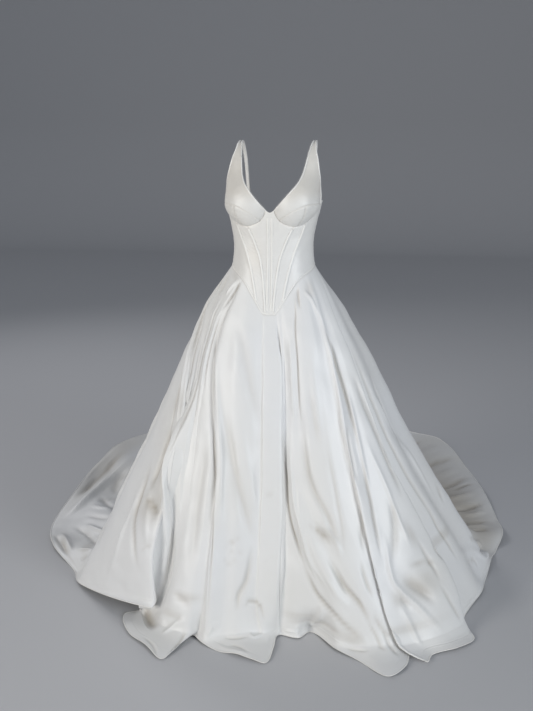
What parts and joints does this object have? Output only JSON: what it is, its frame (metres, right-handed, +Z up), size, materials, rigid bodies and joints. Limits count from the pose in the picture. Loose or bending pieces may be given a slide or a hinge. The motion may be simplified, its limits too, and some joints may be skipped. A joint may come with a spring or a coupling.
{
  "type": "wedding dress",
  "caption": "Sleeveless satin wedding dress: boned bodice with seamed cups, narrow straps and a pointed waist, on a full pleated floor-length skirt with a train.",
  "frame": {"origin": "midway between the tops of the two shoulder straps, where the wearer holds the dress up", "axes": "+Z up, -Y the way the wearer faces, +X the wearer's left"},
  "size_m": [1.7882, 2.2508, 1.4964],
  "materials": {
    "satin": "heavy ivory satin, soft sheen",
    "piping": "ivory satin bias strip over boning, stitched"
  },
  "bodies": {
    "root": {"bodice_front_centre_L": "satin", "bodice_front_centre_R": "satin", "bodice_front_side_L": "satin", "bodice_front_side_R": "satin", "bodice_side_L": "satin", "bodice_side_R": "satin", "bodice_side_back_L": "satin", "bodice_side_back_R": "satin", "bodice_back_L": "satin", "bodice_back_R": "satin", "cup_lower_inner_L": "satin", "cup_lower_inner_R": "satin", "cup_lower_outer_L": "satin", "cup_lower_outer_R": "satin", "cup_upper_L": "satin", "cup_upper_R": "satin", "strap_back_L": "satin", "strap_back_R": "satin", "channel_centre_L": "piping", "channel_centre_R": "piping", "channel_inner_L": "piping", "channel_inner_R": "piping", "channel_outer_L": "piping", "channel_outer_R": "piping", "skirt_front": "satin", "skirt_side_front_L": "satin", "skirt_side_front_R": "satin", "skirt_side_L": "satin", "skirt_side_R": "satin", "skirt_back_L": "satin", "skirt_back_R": "satin"}
  },
  "joints": []
}
